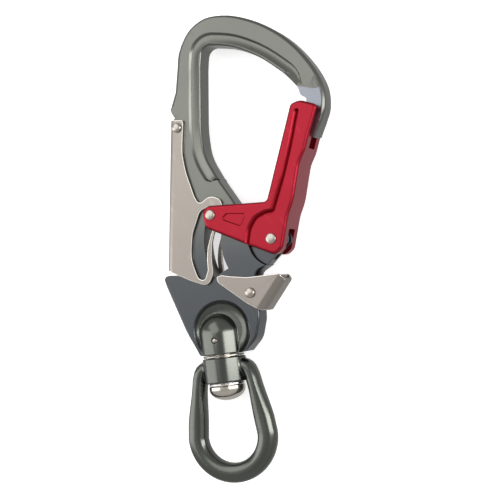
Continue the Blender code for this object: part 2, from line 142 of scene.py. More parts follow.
def to_frame() -> Matrix:
    """The matrix from the drawing to the frame, found from the gate's rivet.

    Returns:
        A scale to metres and a shift.
    """
    low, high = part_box("gate_rivet")
    middle = (low + high) / 2
    shift = middle - Vector((*PIVOTS.gate, 0.0)) * MM
    return Matrix.Translation(shift) @ Matrix.Scale(MM, 4)


def arc(centre: Point, radius: float, start: float, end: float, step: float = ARC_STEP) -> list[Corner]:
    """Points on an arc, as corners with no rounding.

    Args:
        centre: Middle of the arc.
        radius: Its radius.
        start: First angle in degrees.
        end: Last angle in degrees.
        step: Degrees between points.

    Returns:
        The corners from start to end.
    """
    count = max(2, round(abs(end - start) / step))
    turns = [math.radians(start + (end - start) * i / count) for i in range(count + 1)]
    return [(centre[0] + radius * math.cos(a), centre[1] + radius * math.sin(a), 0.0) for a in turns]


def circle(centre: Point, radius: float, count: int = 64) -> list[Point]:
    """A ring of points.

    Args:
        centre: Its middle.
        radius: Its radius.
        count: How many points.

    Returns:
        The points, counter-clockwise.
    """
    turns = [FULL_TURN * i / count for i in range(count)]
    return [(centre[0] + radius * math.cos(a), centre[1] + radius * math.sin(a)) for a in turns]


def rounded(corners: Sequence[Corner], step: float = ARC_STEP, closed: bool = True) -> list[Point]:
    """An outline from corners (x, y, radius), each corner an arc.

    Args:
        corners: The corners in order.
        step: Degrees between the points of an arc.
        closed: Whether the last corner runs on to the first.

    Returns:
        The outline's points.
    """
    points: list[Point] = []
    count = len(corners)
    for i, (x, y, radius) in enumerate(corners):
        if radius <= 0 or (not closed and i in (0, count - 1)):
            points.append((x, y))
            continue
        px, py = corners[i - 1][:2]
        nx, ny = corners[(i + 1) % count][:2]
        to_prev = math.atan2(py - y, px - x)
        to_next = math.atan2(ny - y, nx - x)
        opening = (to_next - to_prev) % FULL_TURN
        inner = min(opening, FULL_TURN - opening)
        half = inner / 2
        limit = 0.49 * min(math.hypot(px - x, py - y), math.hypot(nx - x, ny - y))
        reach = min(radius / math.tan(half), limit)
        radius = reach * math.tan(half)
        bisector = to_prev + (half if opening < math.pi else -half)
        cx = x + radius / math.sin(half) * math.cos(bisector)
        cy = y + radius / math.sin(half) * math.sin(bisector)
        first = math.atan2(y + reach * math.sin(to_prev) - cy, x + reach * math.cos(to_prev) - cx)
        turn = (math.pi - inner) * (-1 if opening < math.pi else 1)
        pieces = max(1, round(math.degrees(abs(turn)) / step))
        for k in range(pieces + 1):
            angle = first + turn * k / pieces
            points.append((cx + radius * math.cos(angle), cy + radius * math.sin(angle)))
    return points


def flowing(knots: Sequence[Point], pieces: int = 8) -> list[Point]:
    """A smooth curve through a few knots.

    Args:
        knots: The points that it passes.
        pieces: Steps from one knot to the next.

    Returns:
        The curve's points.
    """
    ends = [(2 * knots[0][0] - knots[1][0], 2 * knots[0][1] - knots[1][1]), *knots,
            (2 * knots[-1][0] - knots[-2][0], 2 * knots[-1][1] - knots[-2][1])]
    made = []
    for before, a, b, after in zip(ends, ends[1:], ends[2:], ends[3:]):
        for i in range(pieces):
            t = i / pieces
            made.append(tuple(
                a[k] + 0.5 * t * (b[k] - before[k] + t * (2 * before[k] - 5 * a[k] + 4 * b[k] - after[k]
                                                         + t * (3 * (a[k] - b[k]) + after[k] - before[k])))
                for k in (0, 1)))
    return [*made, knots[-1]]


def evenly(path: Sequence[Point], spacing: float) -> list[Point]:
    """A path with points a fixed distance apart.

    Args:
        path: The points of an open path.
        spacing: The distance.

    Returns:
        The new points, with both ends kept.
    """
    lengths = [0.0]
    for (ax, ay), (bx, by) in zip(path, path[1:]):
        lengths.append(lengths[-1] + math.hypot(bx - ax, by - ay))
    count = max(2, round(lengths[-1] / spacing))
    made, k = [], 0
    for i in range(count + 1):
        want = lengths[-1] * i / count
        while k < len(path) - 2 and lengths[k + 1] < want:
            k += 1
        share = (want - lengths[k]) / max(lengths[k + 1] - lengths[k], 1e-9)
        made.append((path[k][0] + (path[k + 1][0] - path[k][0]) * share,
                     path[k][1] + (path[k + 1][1] - path[k][1]) * share))
    return made


# ---------------------------------------------------------------- finishes

RUBBED_FROM, RUBBED_TO = 0.60, 0.74   # noise between which a rubbed mark comes in
RUBBED_SHARE = 0.35                   # how much of its own shade a rubbed mark has
RUBBED_GAIN, RUBBED_LIFT = 1.18, 0.012
RUBBED_GLOSS = 0.03                   # how much smoother a rubbed mark is
COAT_ROUGHNESS = 0.2
GRAIN_DEPTH = 0.00006                 # metres


class Level:
    """A shader socket that takes arithmetic."""

    def __init__(self, tree: "Tree", socket: bpy.types.NodeSocket) -> None:
        """Wrap a socket.

        Args:
            tree: The tree that the socket is in.
            socket: The output socket.
        """
        self.tree = tree
        self.socket = socket

    def _math(self, operation: str, first: "Level | float", second: "Level | float") -> "Level":
        """The result of one Math node."""
        return self.tree.level("ShaderNodeMath", {"operation": operation}, {0: first, 1: second})

    def __add__(self, other: "Level | float") -> "Level":
        """Sum."""
        return self._math("ADD", self, other)

    def __radd__(self, other: float) -> "Level":
        """Sum with a number in front."""
        return self._math("ADD", other, self)

    def __sub__(self, other: "Level | float") -> "Level":
        """Difference."""
        return self._math("SUBTRACT", self, other)

    def __rsub__(self, other: float) -> "Level":
        """Difference with a number in front."""
        return self._math("SUBTRACT", other, self)

    def __mul__(self, other: "Level | float") -> "Level":
        """Product."""
        return self._math("MULTIPLY", self, other)

    def __rmul__(self, other: float) -> "Level":
        """Product with a number in front."""
        return self._math("MULTIPLY", other, self)


class Tree:
    """The nodes of one material or world."""

    def __init__(self, holder: bpy.types.Material | bpy.types.World) -> None:
        """Switch the nodes on.

        Args:
            holder: The material or world.
        """
        holder.use_nodes = True
        self.holder = holder
        self.nodes = holder.node_tree.nodes

    def level(self, kind: str, settings: dict[str, object], inputs: dict[int | str, object],
              output: int | str = 0) -> Level:
        """Add a node.

        Args:
            kind: The node's type.
            settings: Its properties; "stops" holds a ramp's (place, colour) pairs.
            inputs: Values or links of its sockets.
            output: Name or number of the wanted output.

        Returns:
            That output.
        """
        made = self.nodes.new(kind)
        for key, value in settings.items():
            if key == "stops":
                for extra in value[2:]:
                    made.color_ramp.elements.new(extra[0])
                for stop, (place, colour) in zip(made.color_ramp.elements, value):
                    stop.position = place
                    stop.color = (*colour, 1.0)
            else:
                setattr(made, key, value)
        for key, value in inputs.items():
            self.feed(made.inputs[key], value)
        return Level(self, made.outputs[output])

    def feed(self, socket: bpy.types.NodeSocket, value: object) -> None:
        """Link or set a socket.

        Args:
            socket: The input socket.
            value: A Level to link, or a plain value.
        """
        if isinstance(value, Level):
            self.holder.node_tree.links.new(value.socket, socket)
        elif isinstance(value, tuple) and len(value) == 3 and socket.type == "RGBA":
            socket.default_value = (*value, 1.0)
        else:
            socket.default_value = value

    def mix(self, factor: Level | float, first: object, second: object) -> Level:
        """A colour between two colours.

        Args:
            factor: 0 for the first, 1 for the second.
            first: A colour or a Level.
            second: A colour or a Level.

        Returns:
            The mixed colour.
        """
        return self.level("ShaderNodeMix", {"data_type": "RGBA"}, {0: factor, 6: first, 7: second}, 2)

    def between(self, value: Level, start: float, end: float) -> Level:
        """A soft step.

        Args:
            value: What is measured.
            start: Where the step begins, with 0.
            end: Where it ends, with 1.

        Returns:
            The step from 0 to 1.
        """
        return self.level("ShaderNodeMapRange", {"interpolation_type": "SMOOTHSTEP"},
                          {"Value": value, "From Min": start, "From Max": end})

    def noise(self, scale: float, detail: float, stretch: tuple[float, float, float],
              turn: float) -> Level:
        """Noise on object coordinates.

        Args:
            scale: Waves to a metre.
            detail: How many octaves.
            stretch: Factor on each axis after the turn.
            turn: Turn about Z in degrees.

        Returns:
            The noise from 0 to 1.
        """
        place = self.level("ShaderNodeTexCoord", {}, {}, "Object")
        aligned = self.level("ShaderNodeMapping", {"vector_type": "TEXTURE"},
                             {"Vector": place, "Rotation": (0, 0, math.radians(turn))})
        scaled = self.level("ShaderNodeVectorMath", {"operation": "MULTIPLY"}, {0: aligned, 1: stretch})
        return self.level("ShaderNodeTexNoise", {}, {"Vector": scaled, "Scale": scale, "Detail": detail})


class Grain(Enum):
    """How a metal's surface was worked."""

    BLASTED = "blasted"
    BRUSHED = "brushed"
    POLISHED = "polished"


@dataclass(frozen=True)
class Finish:
    """A metal finish: two shades, its gloss, its grain and, for some, a painted shade towards the hook's
    lower half.
    """

    name: str
    slot: str
    deep: Colour
    pale: Colour
    roughness: float
    grain: Grain
    metallic: float = 1.0
    spread: float = 0.06          # how far the roughness wanders
    relief: float = 0.12          # strength of the grain's bump
    turn: float = 0.0             # direction of a brushed grain, degrees from Y
    coat: float = 0.0
    low: Colour | None = None     # painted shade: a darker colour towards the hook's lower half, standing in for its dimmer reflection
    fade: Point = (0.030, -0.010)  # heights, in metres, between which that painted shade comes in

    def material(self) -> bpy.types.Material:
        """Build the finish.

        Returns:
            The material.
        """
        tree = Tree(bpy.data.materials.new(self.name))
        shader = tree.nodes["Principled BSDF"].inputs
        cloud = tree.noise(38.0, 3.0, (1, 1, 1), 0.0)
        fine = self._grain(tree)
        marks = tree.between(tree.noise(260.0, 6.0, (1.0, 0.22, 1.0), 31.0), RUBBED_FROM, RUBBED_TO)
        shade = tree.mix(cloud * 0.75 + fine * 0.25, self.deep, self.pale)
        # Painted shade: the colour darkens towards the lower half of the piece, in place of a dimmer
        # reflection there.
        if self.low:
            place = tree.level("ShaderNodeTexCoord", {}, {}, "Object")
            height = tree.level("ShaderNodeSeparateXYZ", {}, {0: place}, "Y")
            shade = tree.mix(tree.between(height, *self.fade), shade, self.low)
        # Rubbed marks on the lower half start from that painted shade.
        worn = tuple(min(1.0, RUBBED_GAIN * part + RUBBED_LIFT) for part in (self.low or self.pale))
        tree.feed(shader["Base Color"], tree.mix(marks * RUBBED_SHARE, shade, worn))
        rough = self.roughness + (cloud - 0.5) * self.spread + (fine - 0.5) * self.spread
        tree.feed(shader["Roughness"], rough - marks * RUBBED_GLOSS)
        shader["Metallic"].default_value = self.metallic
        shader["Coat Weight"].default_value = self.coat
        shader["Coat Roughness"].default_value = COAT_ROUGHNESS
        bump = tree.level("ShaderNodeBump", {},
                          {"Strength": self.relief, "Distance": GRAIN_DEPTH, "Height": fine}, "Normal")
        tree.feed(shader["Normal"], bump)
        return tree.holder

    def _grain(self, tree: Tree) -> Level:
        """The fine pattern left by the tool that worked the surface.

        Args:
            tree: The material's nodes.

        Returns:
            The pattern from 0 to 1.
        """
        if self.grain is Grain.BRUSHED:
            return tree.noise(2400.0, 2.0, (1.0, 0.035, 1.0), self.turn)
        if self.grain is Grain.POLISHED:
            return tree.noise(900.0, 4.0, (1.0, 0.3, 1.0), self.turn)
        return tree.noise(3200.0, 2.0, (1, 1, 1), 0.0)


class FinishSet:
    """The hook's finishes, each built once."""

    def __init__(self) -> None:
        """Build the materials."""
        # The grey's low colour is painted shade: it darkens the frame's lower half to stand in for a dimmer
        # reflection.
        self.grey = Finish(
            "grey_anodised_satin", "grey_anodised", (0.128, 0.131, 0.119), (0.172, 0.174, 0.154),
            0.30, Grain.BLASTED, low=(0.076, 0.081, 0.086))
        self.machined = Finish(
            "machined_nose", "grey_anodised", (0.185, 0.200, 0.225), (0.240, 0.255, 0.285),
            0.27, Grain.BLASTED)
        self.grey_gloss = Finish(
            "grey_anodised_bright", "grey_anodised", (0.090, 0.097, 0.087), (0.126, 0.132, 0.116),
            0.23, Grain.BLASTED, relief=0.05, spread=0.04)
        self.red = Finish(
            "red_anodised_satin", "red_anodised", (0.26, 0.009, 0.019), (0.35, 0.014, 0.029),
            0.34, Grain.BLASTED, metallic=0.95, coat=0.10)
        self.sheet = Finish(
            "brushed_stainless", "satin_stainless", (0.255, 0.228, 0.202), (0.32, 0.291, 0.262),
            0.36, Grain.BRUSHED, relief=0.10, turn=-8.0)
        self.sheet_edge = Finish(
            "polished_sheet_edge", "satin_stainless", (0.68, 0.64, 0.59), (0.80, 0.76, 0.71),
            0.20, Grain.POLISHED, relief=0.05)
        self.rivet = Finish(
            "rivet_steel", "rivet_steel", (0.36, 0.33, 0.29), (0.46, 0.43, 0.38),
            0.28, Grain.BLASTED, relief=0.10)
        self.polished = Finish(
            "polished_steel", "polished_steel", (0.52, 0.48, 0.42), (0.62, 0.58, 0.51),
            0.20, Grain.POLISHED, relief=0.04)
        self.spring = Finish(
            "spring_wire", "spring_steel", (0.40, 0.39, 0.38), (0.52, 0.51, 0.50),
            0.28, Grain.POLISHED, relief=0.05)
        self.bronze = Finish(
            "bearing_bronze", "bronze", (0.42, 0.25, 0.11), (0.52, 0.33, 0.16),
            0.32, Grain.BLASTED)
        self.made = {finish.name: finish.material() for finish in vars(self).values()}

    def material(self, finish: Finish) -> bpy.types.Material:
        """The built material of a finish."""
        return self.made[finish.name]


# ---------------------------------------------------------------- shaping

def anywhere(at: Vector) -> bool:
    """The choice of every place."""
    return True


class Axis(Enum):
    """Direction that a turned piece is turned about."""

    Y = (0.0, 1.0, 0.0)
    Z = (0.0, 0.0, 1.0)


class Blank:
    """A workpiece in drawing millimetres, shaped by bmesh operators."""

    def __init__(self, work: bmesh.types.BMesh) -> None:
        """Take over a bmesh.

        Args:
            work: The mesh.
        """
        self.work = work

    @classmethod
    def plate(cls, outline: Sequence[Point], low: float, high: float) -> "Blank":
        """A flat outline drawn up into a plate.

        Args:
            outline: Its points.
            low: Height of the lower face.
            high: Height of the upper face.

        Returns:
            The plate.
        """
        work = bmesh.new()
        face = work.faces.new([work.verts.new((x, y, low)) for x, y in outline])
        drawn = bmesh.ops.extrude_face_region(work, geom=[face])["geom"]
        top = [item for item in drawn if isinstance(item, bmesh.types.BMVert)]
        bmesh.ops.translate(work, verts=top, vec=(0, 0, high - low))
        bmesh.ops.recalc_face_normals(work, faces=work.faces)
        return cls(work)

    @classmethod
    def lofted(cls, rings: Sequence[tuple[Sequence[Point], float]]) -> "Blank":
        """A solid through outlines at rising heights.

        Args:
            rings: Outlines with as many points each, and their heights.

        Returns:
            The solid.
        """
        work = bmesh.new()
        loops = [work.faces.new([work.verts.new((x, y, height)) for x, y in outline])
                 for outline, height in rings]
        for lower, upper in zip(loops, loops[1:]):
            bmesh.ops.bridge_loops(work, edges=[*lower.edges, *upper.edges])
        bmesh.ops.delete(work, geom=loops[1:-1], context="FACES_ONLY")
        bmesh.ops.recalc_face_normals(work, faces=work.faces)
        return cls(work)

    @classmethod
    def turned(cls, profile: Sequence[Point], centre: tuple[float, float, float], axis: Axis,
               steps: int = 72) -> "Blank":
        """A profile of (radius, height) spun about an axis.

        Args:
            profile: Its points; a first point repeated at the end closes a ring.
            centre: Where the axis has height 0.
            axis: The direction of the axis.
            steps: Sides of the round.

        Returns:
            The solid.
        """
        work = bmesh.new()
        closed = profile[0] == profile[-1]
        along = Vector(axis.value)
        across = Vector((1.0, 0.0, 0.0))
        verts = [work.verts.new(Vector(centre) + across * r + along * h) for r, h in profile[closed:]]
        edges = [work.edges.new(pair) for pair in zip(verts, verts[1:] + verts[:closed])]
        bmesh.ops.spin(work, geom=[*verts, *edges], cent=centre, axis=along, angle=FULL_TURN,
                       steps=steps, use_merge=True)
        bmesh.ops.remove_doubles(work, verts=work.verts, dist=0.0005)
        bmesh.ops.recalc_face_normals(work, faces=work.faces)
        return cls(work)

    @classmethod
    def swept(cls, path: Sequence[Point], section: Sequence[Point],
              swell: Callable[[float], Point] = lambda share: (1.0, 1.0)) -> "Blank":
        """A closed section carried along a flat path.

        Args:
            path: Points of an open path in the drawing's plane.
            section: Points (to the path's left, height).
            swell: Factors on the section's two sizes at a share of the path.

        Returns:
            The solid, closed at both ends.
        """
        work = bmesh.new()
        places = []
        for i, (x, y) in enumerate(path):
            ax, ay = path[max(i - 1, 0)]
            bx, by = path[min(i + 1, len(path) - 1)]
            along = Vector((bx - ax, by - ay, 0)).normalized()
            wide, tall = swell(i / (len(path) - 1))
            left = Vector((-along.y, along.x, 0))
            turn = Matrix((left, Vector((0, 0, 1)), along)).transposed().to_4x4()
            places.append(Matrix.Translation((x, y, 0)) @ turn @ Matrix.Diagonal((wide, tall, 1, 1)))
        verts = [work.verts.new(places[0] @ Vector((u, v, 0))) for u, v in section]
        edges = [work.edges.new(pair) for pair in zip(verts, verts[1:] + verts[:1])]
        for last, place in zip(places, places[1:]):
            drawn = bmesh.ops.extrude_edge_only(work, edges=edges)["geom"]
            edges = [item for item in drawn if isinstance(item, bmesh.types.BMEdge)]
            fresh = [item for item in drawn if isinstance(item, bmesh.types.BMVert)]
            bmesh.ops.transform(work, matrix=place @ last.inverted(), verts=fresh)
        rims = [edge for edge in work.edges if edge.is_boundary]
        bmesh.ops.holes_fill(work, edges=rims, sides=0)
        bmesh.ops.recalc_face_normals(work, faces=work.faces)
        return cls(work)

    def moved(self, matrix: Matrix) -> "Blank":
        """Turn and shift the piece.

        Args:
            matrix: The turn and shift.

        Returns:
            This piece.
        """
        bmesh.ops.transform(self.work, matrix=matrix, verts=self.work.verts)
        bmesh.ops.recalc_face_normals(self.work, faces=self.work.faces)
        return self

    def _sharp_edges(self, angle: float, chosen: Chooser) -> list[bmesh.types.BMEdge]:
        """Find sharp edges.

        Args:
            angle: Edges sharper than this, in degrees.
            chosen: Whether the edge with this middle counts.

        Returns:
            The edges.
        """
        return [edge for edge in self.work.edges
                if len(edge.link_faces) == 2 and edge.calc_face_angle() > math.radians(angle)
                and chosen((edge.verts[0].co + edge.verts[1].co) / 2)]

    def _bevel(self, edges: list[bmesh.types.BMEdge], width: float, segments: int,
               material: int) -> "Blank":
        """Bevel some edges.

        Args:
            edges: The edges.
            width: The bevel's size.
            segments: Its steps.
            material: Slot of the new faces, or -1 for their neighbours'.

        Returns:
            This piece.
        """
        bmesh.ops.bevel(self.work, geom=edges, offset=width, offset_type="OFFSET", segments=segments,
                        profile=0.5, affect="EDGES", clamp_overlap=False, material=material)
        return self

    def round_rim(self, width: float, segments: int, chosen: Chooser = anywhere) -> "Blank":
        """Round the edges between flat faces and walls.

        Args:
            width: The round's radius.
            segments: Its steps.
            chosen: Whether the edge with this middle is rounded.

        Returns:
            This piece.
        """
        level = [edge for edge in self._sharp_edges(60.0, chosen)
                 if abs(edge.verts[0].co.z - edge.verts[1].co.z) < 1e-6]
        return self._bevel(level, width, segments, -1)

    def soften(self, width: float, segments: int = 2, angle: float = 38.0, material: int = -1,
               chosen: Chooser = anywhere) -> "Blank":
        """Break the sharp edges.

        Args:
            width: How wide the broken edge is.
            segments: Its steps.
            angle: Edges sharper than this, in degrees.
            material: Slot of the new faces, or -1 for their neighbours'.
            chosen: Whether the edge with this middle is broken.

        Returns:
            This piece.
        """
        bmesh.ops.remove_doubles(self.work, verts=self.work.verts, dist=0.01)
        bmesh.ops.dissolve_degenerate(self.work, edges=self.work.edges, dist=0.01)
        return self._bevel(self._sharp_edges(angle, chosen), width, segments, material)

    def _combine(self, operation: str, others: Sequence["Blank"]) -> "Blank":
        """Run one Boolean with each of the other pieces.

        Args:
            operation: The Boolean's kind.
            others: The other pieces, which are used up.

        Returns:
            This piece.
        """
        held = [Blank._loan(piece.work) for piece in (self, *others)]
        for other in held[1:]:
            step = held[0].modifiers.new("Combine", "BOOLEAN")
            step.operation = operation
            step.solver = "EXACT"
            step.object = other
        bpy.context.view_layer.update()
        graph = bpy.context.evaluated_depsgraph_get()
        result = bpy.data.meshes.new_from_object(held[0].evaluated_get(graph))
        self.work.clear()
        self.work.from_mesh(result)
        bpy.data.meshes.remove(result)
        for thing in held:
            mesh = thing.data
            bpy.data.objects.remove(thing, do_unlink=True)
            bpy.data.meshes.remove(mesh)
        for piece in others:
            piece.work.free()
        return self

    @staticmethod
    def _loan(work: bmesh.types.BMesh) -> bpy.types.Object:
        """Show a bmesh as a short-lived object.

        Args:
            work: The bmesh.

        Returns:
            The object.
        """
        mesh = bpy.data.meshes.new("loan")
        work.to_mesh(mesh)
        thing = bpy.data.objects.new("loan", mesh)
        bpy.context.scene.collection.objects.link(thing)
        return thing

    def cut(self, *tools: "Blank") -> "Blank":
        """Take the tools out of the piece."""
        return self._combine("DIFFERENCE", tools)

    def join(self, *others: "Blank") -> "Blank":
        """Join other pieces to it."""
        return self._combine("UNION", others)

    def keep(self, other: "Blank") -> "Blank":
        """Keep only what is inside the other piece."""
        return self._combine("INTERSECT", [other])

    def deliver(self, name: str, body: str, nodes: Sequence[str], finishes: FinishSet, finish: Finish,
                *more: Finish, sharp: float = 32.0) -> bpy.types.Object:
        """Turn the workpiece into a finished piece on its body.

        Args:
            name: The piece's name.
            body: The body that it rides on.
            nodes: The nodes that it stands for.
            finishes: The hook's finishes.
            finish: The finish of slot 0.
            more: Finishes of further slots.
            sharp: Edges sharper than this stay sharp, in degrees.

        Returns:
            The object.
        """
        bmesh.ops.transform(self.work, matrix=to_frame(), verts=self.work.verts)
        mesh = bpy.data.meshes.new(name)
        self.work.to_mesh(mesh)
        self.work.free()
        mesh.shade_smooth()
        mesh.set_sharp_from_angle(angle=math.radians(sharp))
        thing = bpy.data.objects.new(name, mesh)
        bpy.context.scene.collection.objects.link(thing)
        for used in (finish, *more):
            mesh.materials.append(finishes.material(used))
        normals = thing.modifiers.new("Flat faces stay flat", "WEIGHTED_NORMAL")
        normals.keep_sharp = True
        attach(thing, body)
        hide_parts(*nodes)
        LOG.info("%s: %d faces on %s", name, len(mesh.polygons), body)
        return thing


def both_faces(make: Callable[[], Blank]) -> list[Blank]:
    """A tool for the front face and its mirror image for the rear face.

    Args:
        make: Builds the front tool.

    Returns:
        The two tools.
    """
    rear = make()
    bmesh.ops.transform(rear.work, matrix=Matrix.Diagonal((1, 1, -1, 1)), verts=rear.work.verts)
    bmesh.ops.recalc_face_normals(rear.work, faces=rear.work.faces)
    return [make(), rear]


# ---------------------------------------------------------------- forged frame

@dataclass(frozen=True)
class PivotHole:
    """A rivet's hole through the frame, and the slot of the spring round it."""

    centre: Point
    radius: float
    slot: float = 0.0             # the slot's radius; 0 means that there is none
    slot_half: float = 0.0


@dataclass
class ForgedFrame:
    """The forged body: bow, spine, nose, lower plate, pivot lug and swivel barrel."""

    finishes: FinishSet
    rim: float = 1.9              # round of the bow, the spine and the nose's back
    rim_steps: int = 6
    small_rim: float = 1.1        # round of the opening's edge and the lower plate
    small_rim_steps: int = 4
    broken_edge: float = 0.25
    recess_radius: float = 12.9
    lug_radius: float = 6.3
    barrel_radius: float = 10.75
    barrel_straight: float = 10.2
    bore_radius: float = 5.3
    bore_top: float = 12.0
    cross_hole: tuple[float, float] = (7.1, 1.45)  # height and radius
    window_radii: Point = (27.5, 36.2)
    window_turn: Point = (147, 204)
    pocket_centre: Point = (3.0, 11.5)
    pocket_radius: float = 14.4
    pocket_floor: float = 3.8
    pocket_fillet: Point = (5.2, 2.9)              # its width and height
    groove_depth: float = 1.15
    groove_lines: tuple[float, float, float] = (1.0, 4.9, 6.6)  # inner, lowest, outer; from the edge
    pivot_holes: tuple[PivotHole, ...] = (
        PivotHole(PIVOTS.gate, 3.1, 4.7, 1.9), PivotHole(PIVOTS.lever, 2.6),
        PivotHole(PIVOTS.catch, 2.8, 4.6, 1.6))
    bow: list[Point] = field(default_factory=lambda: [
        (-7.6, 131.6), (-5.3, 142.6), (-3.3, 151.2), (2.1, 159.8), (9.0, 164.5), (17.0, 165.8),
        (28.5, 163.6), (42.0, 157.0), (54.0, 147.3), (63.4, 134.8), (68.5, 122.8), (68.5, 112.6),
        (65.4, 105.0)])
    opening: list[Corner] = field(default_factory=lambda: [
        (25.6, 60.2, 6), (20.8, 66.0, 12), (16.6, 74.0, 20), (10.2, 85.4, 25), (4.4, 98.0, 25),
        (4.0, 111.0, 60), (7.6, 142.6, 40), (9.6, 152.5, 10), (24.5, 149.4, 40), (38.5, 141.7, 60),
        (50.6, 130.6, 25), (55.8, 123.4, 6)])
    lever_spring_slot: list[Corner] = field(default_factory=lambda: [
        (-14, 96, 0), (-9.0, 96, 1), (-3.6, 109.2, 3), (-3.6, 117.4, 4.0), (-14, 117.4, 0)])
    gate_spring_mouth: list[Corner] = field(default_factory=lambda: [
        (30.0, 49.0, 0), (34.0, 40.0, 0), (46.0, 52.0, 0), (40.0, 57.5, 0)])

    def __post_init__(self) -> None:
        """Keep the opening's line, clear of its two ends, for the choice of edges to round."""
        clear_points = 6
        self.rim_line = evenly(rounded(self.opening, closed=False), 0.8)[clear_points:-clear_points]

    def outline(self) -> list[Point]:
        """The frame's outer line, from the nose round the bow and down to the barrel.

        Returns:
            The outline's points.
        """
        return rounded([
            (61.3, 98.3, 1.2), *[(x, y, 0.0) for x, y in reversed(flowing(self.bow))], (-11.4, 123.2, 5.5),
            (-9.0, 118.6, 2), (-11.6, 116.0, 2), (-11.6, 111.0, 2), (-9.8, 107.6, 2),
            (-10.9, 75.0, 30), (-11.2, 41.9, 2), (-17.0, 40.4, 4), (-20.6, 41.6, 2),
            (-24.4, 41.2, 1.8), (-23.4, 35.5, 12), (-15.6, 12.5, 30), (-9.6, 0.3, 1),
            (14.2, 0.3, 1), (20.4, 5.8, 10), (23.4, 15.5, 14), (23.7, 37.4, 4), (30.6, 41.2, 8),
            *arc(PIVOTS.gate, self.lug_radius, -20, 130), *self.opening,
            (56.3, 119.8, 2.5), (59.2, 117.8, 1.5), (58.4, 112.0, 4), (56.4, 104.0, 3), (58.0, 98.8, 1.5)])

    def groove(self) -> Blank:
        """The tool of the soft groove that follows the opening's edge.

        Returns:
            The tool of the front face.
        """
        spacing, start_run, end_run, thin_end = 1.2, 4.5, 9.0, 0.06
        slope_steps, wall_steps, slope_curve = 12, 10, 1.6
        path = evenly(rounded(self.opening[3:], closed=False), spacing)
        top = THICK.body + 0.06
        floor = top - self.groove_depth
        inner, deepest, outer = self.groove_lines
        section = []
        for i in range(slope_steps + 1):
            share = i / slope_steps
            section.append((inner + (deepest - inner) * share,
                            floor + self.groove_depth * (1 - share) ** slope_curve))
        for i in range(1, wall_steps + 1):
            share = i / wall_steps
            section.append((deepest + (outer - deepest) * share,
                            floor + self.groove_depth * (0.5 - 0.5 * math.cos(math.pi * share))))
        section += [(outer, top + 2.0), (inner, top + 2.0)]
        run = len(path) * spacing

        def fade(share: float) -> Point:
            """Narrow the tool at both ends."""
            near = min(share * run / start_run, (1 - share) * run / end_run, 1.0)
            return (max(thin_end, math.sqrt(1 - (1 - near) ** 2)), 1.0)

        return Blank.swept(path, section, fade)

    def nose_web(self) -> Blank:
        """The tool that thins the nose, running out in a ramp towards the bow.

        Returns:
            The tool of the front face.
        """
        side = rounded([(50.0, 94.0, 0), (60.6, 94.0, 0), (61.2, 99.6, 0), (64.9, 108.0, 8),
                        (66.7, 116.0, 8), (66.2, 122.0, 0)], closed=False)
        rings = []
        for radius, shift, height in ((74.5, 0.0, THICK.web), (82.0, 0.9, THICK.body + 0.4)):
            ramp = [(x, y) for x, y, _ in arc(PIVOTS.gate, radius, 68.5, 86, step=1.75)]
            rings.append(([*ramp, *[(x + shift, y) for x, y in side]], height))
        return Blank.lofted(rings)

    def recess(self) -> Blank:
        """The tool of the round recess that the gate's boss turns in."""
        steps = ((0.0, THICK.web), (0.0, THICK.body - 0.5), (0.8, THICK.body + 0.2))
        return Blank.lofted([(circle(PIVOTS.gate, self.recess_radius + grow, 96), at) for grow, at in steps])

    def barrel(self) -> Blank:
        """The swivel barrel with its round top.

        Returns:
            The barrel, without its bore.
        """
        steps, foot = 18, 0.5
        dome = [(self.barrel_radius * math.cos(a), self.barrel_straight + self.barrel_radius * math.sin(a))
                for a in [math.pi / 2 * i / steps for i in range(steps, -1, -1)]]
        dome[0] = (0.0, dome[0][1])
        return Blank.turned([*dome, (self.barrel_radius, foot), (self.barrel_radius - foot, 0.0),
                             (0.0, 0.0)], (PIVOTS.swivel_x, 0, 0), Axis.Y)

    def barrel_pocket(self) -> Blank:
        """The tool of the rounded pocket that the barrel stands in.

        Returns:
            The tool of the front face.
        """
        wide, tall = self.pocket_fillet
        steps, turn, sides = 7, 76, 96
        rings = []
        for i in range(steps + 1):
            a = math.radians(turn) * i / steps
            rings.append((circle(self.pocket_centre, self.pocket_radius - wide + wide * math.sin(a), sides),
                          self.pocket_floor + tall * (1 - math.cos(a))))
        for grow, below in ((0.15, 0.55), (0.40, 0.22), (0.85, 0.0), (1.4, -0.12)):
            rings.append((circle(self.pocket_centre, self.pocket_radius + grow, sides),
                          THICK.body - below))
        return Blank.lofted(rings)

    def _on_inner_rim(self, at: Vector) -> bool:
        """Whether an edge of the plate borders the opening."""
        return at.y > 62 and min(math.hypot(at.x - x, at.y - y) for x, y in self.rim_line) < 0.9

    def _on_outer_rim(self, at: Vector) -> bool:
        """Choose the edges outside the bow, the spine and the nose.

        Args:
            at: An edge's middle.

        Returns:
            Whether it is one of them.
        """
        hidden = Zone(54, 63, 97, 124).holds(at) or Zone(right=-9.5, high=124).holds(at)
        return at.y > 62 and not hidden and not self._on_inner_rim(at)

    def _on_small_rim(self, at: Vector) -> bool:
        """Choose the edges of the opening, and of the lower plate clear of its tight corners.

        Args:
            at: An edge's middle.

        Returns:
            Whether it is one of them.
        """
        ear, barrel, foot = Zone(right=-15, low=37.5), Zone(-14, 14), Zone(right=-9, low=1.7, high=14)
        side = Zone(low=1.7, high=40).holds(at) and not ear.holds(at) and not barrel.holds(at)
        return self._on_inner_rim(at) or side or foot.holds(at)

    def _is_machined(self, at: Vector, normal: Vector) -> bool:
        """Whether a face is on the nose's thinned flats."""
        return abs(normal.z) > 0.6 and Zone(left=50, low=95).holds(at) and abs(at.z) < THICK.web + 0.6

